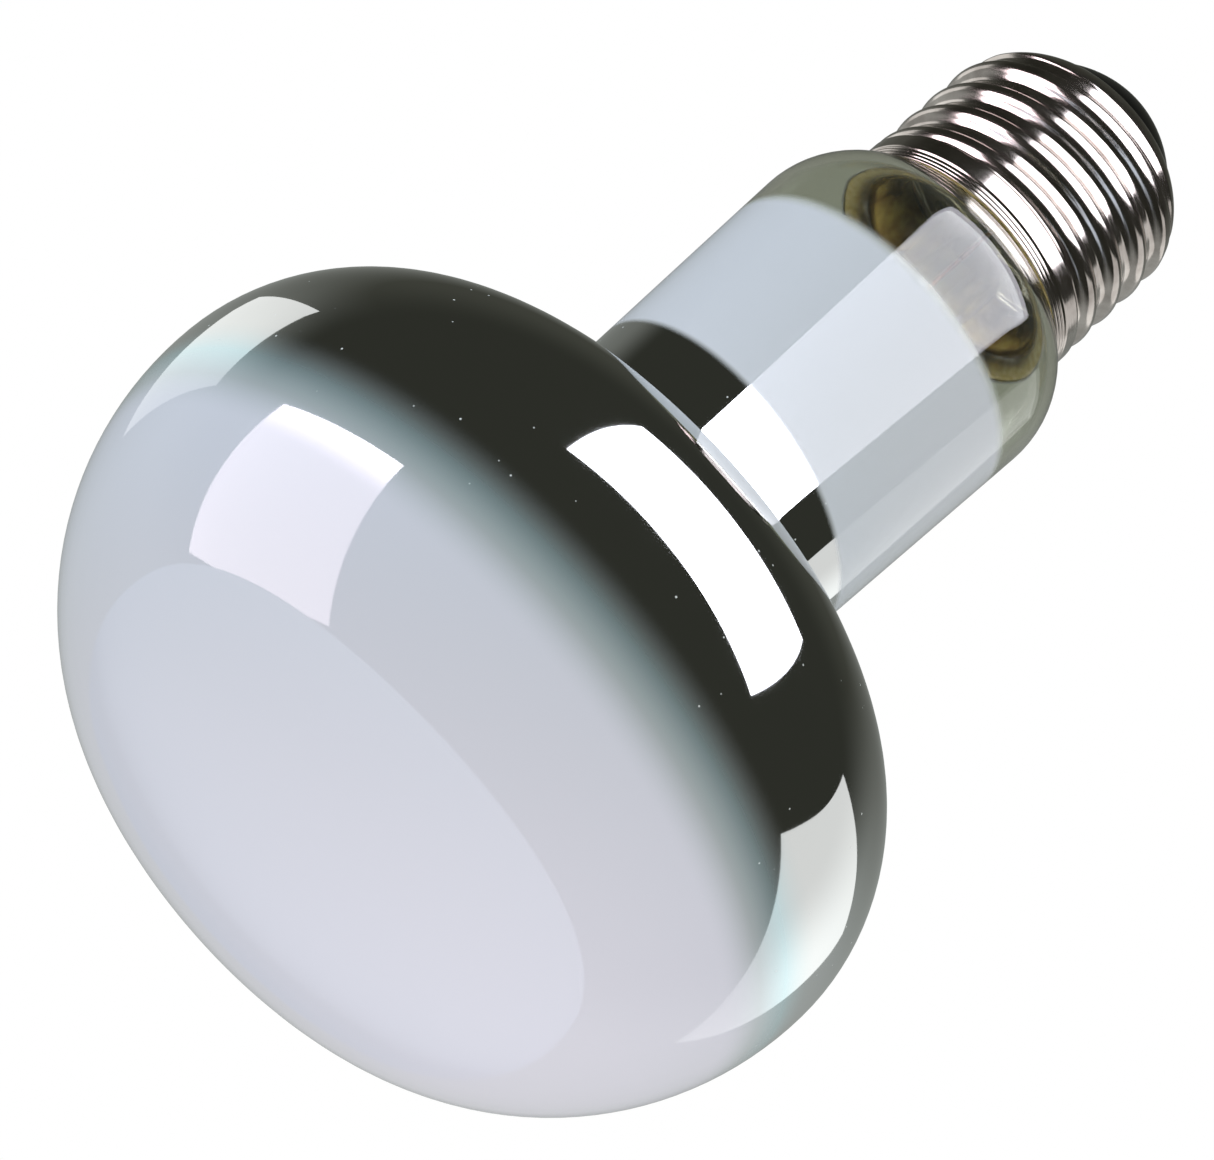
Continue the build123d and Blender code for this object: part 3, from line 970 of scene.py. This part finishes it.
@dataclass(frozen=True)
class Room:
    """What surrounds the bulb: a dark room with a pale backdrop behind the bulb."""

    dark_hex: str = "34352f"
    backdrop: tuple[tuple[float, str], ...] = (
        (0.1, "bcc0be"), (0.35, "a4a8a6"), (0.52, "8f938f"), (0.7, "70726d"), (0.9, "45463f"))
    backdrop_lean: float = -0.2
    backdrop_top: float = 0.85
    backdrop_side: Pair = (0.15, 0.6)
    fill: Colour = (0.66, 0.71, 0.70, 1.0)
    through_hex: str = "8e8f84"

    def build(self) -> bpy.types.World:
        """Build the world: white to the camera, soft on matt surfaces and a room to mirrors.

        Returns:
            The new world.
        """
        world = bpy.data.worlds.new("room")
        world.use_nodes = True
        nodes = Nodes(world.node_tree)
        path = nodes.add("ShaderNodeLightPath").outputs
        way = nodes.add("ShaderNodeTexCoord").outputs["Generated"]
        height = nodes.slope(way, (self.backdrop_lean, 0.0, 1.0), (0.0, self.backdrop_top),
                             ease=Ease.EVEN)
        behind = nodes.slope(way, (0.0, 1.0, 0.0), self.backdrop_side)
        backdrop = nodes.add("ShaderNodeValToRGB", {"stops": self.backdrop}, {"Fac": height})
        seen = nodes.layered(linear(self.dark_hex), (behind, backdrop.outputs[0]),
                             (path["Is Transmission Ray"], linear(self.through_hex)),
                             (path["Diffuse Depth"], self.fill), (path["Is Camera Ray"], WHITE))
        nodes.tree.links.new(seen, nodes.tree.nodes["Background"].inputs["Color"])
        return world


@dataclass
class Studio:
    """The room, soft panels of light, a pale floor and the camera."""

    softboxes: tuple[Softbox, ...] = (
        Softbox("key_panel", Role.MIRRORED, (20, -73, 155), (0.097, -0.898, 0.429),
                (0.993, 0.06, -0.098), 137, 141, 5.8, "f6f5ff"),
        Softbox("face_panel", Role.MIRRORED, (-287, -68, -88), (-0.66, -0.439, -0.61),
                (0.604, -0.793, -0.084), 258, 276, 6.3, "fff0fa"),
        Softbox("left_card", Role.MIRRORED, (-235, 152, 110), (-0.779, 0.546, 0.309),
                (0.574, 0.819, 0.0), 150, 120, 0.8),
        Softbox("right_card", Role.MIRRORED, (338, 125, 205), (0.982, -0.003, -0.191),
                (-0.081, 0.9, -0.429), 304, 331, 0.85),
        Softbox("cool_window", Role.LIGHTING, (-595, -210, 360), (-0.85, -0.3, 0.43),
                (0.0, 0.82, 0.57), 500, 500, 2.3, "d9e6ff"),
        Softbox("warm_bounce", Role.LIGHTING, (385, -70, -530), (0.55, -0.1, -0.83),
                (0.83, 0.0, 0.55), 500, 500, 2.0, "ffe4e4"),
        Softbox("frost_glow", Role.GLOW, (0, 0, 79), (0.0, 0.0, -1.0),
                (1.0, 0.0, 0.0), 30, 30, 0.8, "fff0d8", Shape.ROUND, 80.0),
        Softbox("neck_glow", Role.LIGHTING, (0, 0, 86), (0.0, 0.0, -1.0),
                (1.0, 0.0, 0.0), 24, 24, 2.3, "fff4e4", Shape.ROUND),
        Softbox("top_light", Role.LIGHTING, (0, 0, 1500), (0.0, 0.0, 1.0),
                (1.0, 0.0, 0.0), 900, 900, 3.0),
    )
    table_height: float = -100.0
    table_centre: float = 10.0
    table_near: float = -92.0
    table_far: float = 2400.0
    table_half_width: float = 186.0
    table_round: float = 200.0
    table_steps: int = 48
    table_hex: str = "dcebff"
    table_glow: Pair = (1.9, 0.6)
    table_glow_end: float = 350.0
    floor_size: float = 12000.0
    floor_drop: float = 0.1
    floor_hex: str = "f2f0ee"
    floor_roughness: float = 0.8
    photo_width: float = 1214.0
    photo_height: float = 1160.0
    focal_pixels: float = 5043.9
    target_pixel: Pair = (665.09, 521.99)
    target_height: float = 55.0
    distance: float = 450.0
    tilt: float = 64.324
    roll: float = 48.304
    sensor: float = 36.0
    nearest: float = 10.0

    def build(self) -> None:
        """Build the room, lights, floor and camera."""
        bpy.context.scene.world = Room().build()
        bpy.context.scene.view_settings.view_transform = "Standard"
        for softbox in self.softboxes:
            softbox.build()
        self.build_table()
        self.build_floor()
        self.build_camera()

    def set_stage(self, name: str, mesh: bmesh.types.BMesh, paint: bpy.types.Material,
                  height: float, mirrored: bool) -> None:
        """Lay a flat sheet in the studio, which throws no light or shade on matt surfaces.

        Args:
            name: its name.
            mesh: flat mesh at height zero; it is freed.
            paint: its finish.
            height: height to lay it at, in millimetres.
            mirrored: whether only mirrors see it, and not only the camera.
        """
        data = bpy.data.meshes.new(name)
        mesh.to_mesh(data)
        mesh.free()
        data.materials.append(paint)
        sheet = bpy.data.objects.new(name, data)
        bpy.context.scene.collection.objects.link(sheet)
        sheet.location.z = height * MM
        sheet.visible_camera = not mirrored
        sheet.visible_glossy = mirrored
        sheet.visible_diffuse = False
        sheet.visible_transmission = False
        sheet.visible_shadow = False

    def build_table(self) -> None:
        """Lay a bright table with a round near end below the face, which only mirrors see."""
        middle = self.table_near + self.table_round
        outline = Turned(-self.table_round, 0.0)
        outline.arc((0.0, 0.0), pi, self.table_steps)
        outline.line(self.table_round, self.table_far - middle)
        outline.line(-self.table_round, self.table_far - middle)
        mesh = outline.close().fill()
        narrow = Matrix.Diagonal((self.table_half_width / self.table_round, 1.0, 1.0, 1.0))
        shift = Matrix.Translation((self.table_centre * MM, middle * MM, 0.0))
        flat = Matrix.Rotation(-pi / 2, 4, "X")
        bmesh.ops.transform(mesh, matrix=shift @ narrow @ flat, verts=mesh.verts[:])
        paint = bpy.data.materials.new("lit_table")
        paint.use_nodes = True
        nodes = Nodes(paint.node_tree)
        place = nodes.add("ShaderNodeTexCoord").outputs["Object"]
        reach = (self.table_near * MM, self.table_glow_end * MM)
        glow = nodes.slope(place, (0.0, 1.0, 0.0), reach, self.table_glow, Ease.EVEN)
        lit = nodes.add("ShaderNodeEmission", {"Color": linear(self.table_hex)}, {"Strength": glow})
        end = nodes.tree.nodes["Material Output"]
        nodes.tree.links.new(lit.outputs[0], end.inputs["Surface"])
        self.set_stage("table", mesh, paint, self.table_height, mirrored=True)

    def build_floor(self) -> None:
        """Lay a pale floor under the face, clear from below because the photograph looks up."""
        mesh = bmesh.new()
        bmesh.ops.create_grid(mesh, x_segments=1, y_segments=1, size=self.floor_size / 2 * MM)
        paint = bpy.data.materials.new("floor_paint")
        paint.use_nodes = True
        nodes = Nodes(paint.node_tree)
        shader = nodes.tree.nodes["Principled BSDF"]
        shader.inputs["Base Color"].default_value = linear(self.floor_hex)
        shader.inputs["Roughness"].default_value = self.floor_roughness
        below = nodes.add("ShaderNodeNewGeometry").outputs["Backfacing"]
        clear = nodes.add("ShaderNodeBsdfTransparent").outputs[0]
        links = {0: below, 1: shader.outputs[0], 2: clear}
        mixed = nodes.add("ShaderNodeMixShader", links=links)
        end = nodes.tree.nodes["Material Output"]
        nodes.tree.links.new(mixed.outputs[0], end.inputs["Surface"])
        self.set_stage("floor", mesh, paint, -self.floor_drop, mirrored=False)

    def build_camera(self) -> None:
        """Place the camera at the photograph's view of the bulb."""
        tilt, roll = radians(self.tilt), radians(self.roll)
        back = Vector((0.0, -sin(tilt), -cos(tilt)))
        level = Vector((1.0, 0.0, 0.0))
        rise = back.cross(level)
        right = cos(roll) * level + sin(roll) * rise
        top = cos(roll) * rise - sin(roll) * level
        scale = self.distance / self.focal_pixels
        off_right = (self.photo_width / 2 - self.target_pixel[0]) * scale
        off_top = (self.target_pixel[1] - self.photo_height / 2) * scale
        place = UP * self.target_height + back * self.distance + right * off_right + top * off_top
        lens = bpy.data.cameras.new("photo_camera")
        lens.sensor_fit = "HORIZONTAL"
        lens.sensor_width = self.sensor
        lens.lens = self.focal_pixels / self.photo_width * self.sensor
        lens.clip_start = self.nearest * MM
        camera = bpy.data.objects.new("photo_camera", lens)
        turn = Matrix((right, top, back)).transposed().to_4x4()
        camera.matrix_world = Matrix.Translation(place * MM) @ turn
        bpy.context.scene.collection.objects.link(camera)
        bpy.context.scene.camera = camera


def main() -> None:
    """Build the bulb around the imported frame."""
    logging.basicConfig(level=logging.INFO, format="%(message)s")
    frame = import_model()
    finishes = Finishes()
    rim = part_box("screw_shell")[0].z / MM
    GlassBulb(finishes).build()
    shell = ScrewCap(finishes, rim)
    shell.build()
    CapEnd(finishes, shell).build()
    Insides(finishes, frame["nodes"]).dress()
    Studio().build()


if __name__ == "__main__":
    main()
